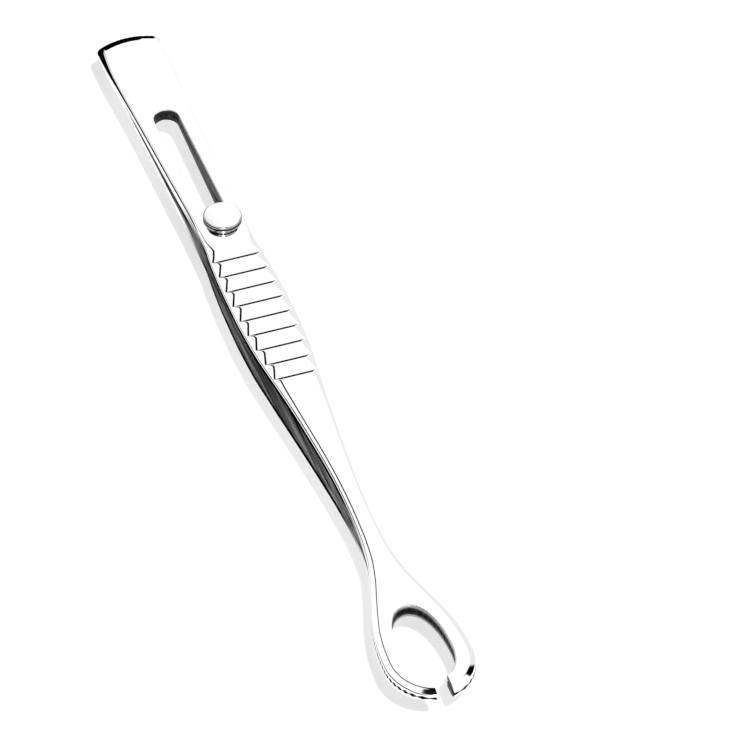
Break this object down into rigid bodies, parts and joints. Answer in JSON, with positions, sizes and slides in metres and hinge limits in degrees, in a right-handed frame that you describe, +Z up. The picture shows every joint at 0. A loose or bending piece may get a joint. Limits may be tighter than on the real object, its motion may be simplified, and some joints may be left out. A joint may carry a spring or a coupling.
{
  "type": "slide-lock ring forceps",
  "caption": "Flat spring-steel forceps with split ring jaws, raked thumb grips and a headed slide that runs in a slot and locks them shut.",
  "frame": {"origin": "under the middle of the tool's length, on the plane of the lower lock head's outer face", "axes": "+X along the tool from the welded tail to the ring jaws, +Y across it, +Z up through both arms"},
  "size_m": [0.15, 0.014, 0.0101],
  "materials": {
    "polished_steel": "mirror-polished stainless steel",
    "turned_steel": "turned and polished stainless steel"
  },
  "bodies": {
    "tail": {"welded_tail": "polished_steel"},
    "upper_arm": {"upper_arm": "polished_steel"},
    "lower_arm": {"lower_arm": "polished_steel"},
    "lock": {"lock_pin": "turned_steel", "lock_head_upper": "turned_steel", "lock_head_lower": "turned_steel", "lock_collar_upper": "turned_steel", "lock_collar_lower": "turned_steel"}
  },
  "joints": [
    {"name": "lock_slide", "type": "slide", "parent": "tail", "child": "lock", "axis": [-1, 0, 0], "range_m": [0, 0.026]},
    {"name": "upper_arm_flex", "type": "hinge", "parent": "tail", "child": "upper_arm", "pos_m": [-0.062, 0, 0.00558], "axis": [0, -1, 0], "range_deg": [0, 3.1]},
    {"name": "lower_arm_flex", "type": "hinge", "parent": "tail", "child": "lower_arm", "pos_m": [-0.062, 0, 0.00453], "axis": [0, 1, 0], "range_deg": [0, 3.1]}
  ],
  "couplings": [
    {"joint": "upper_arm_flex", "follows": "lock_slide", "rad_per_m": 2},
    {"joint": "lower_arm_flex", "follows": "lock_slide", "rad_per_m": 2}
  ]
}
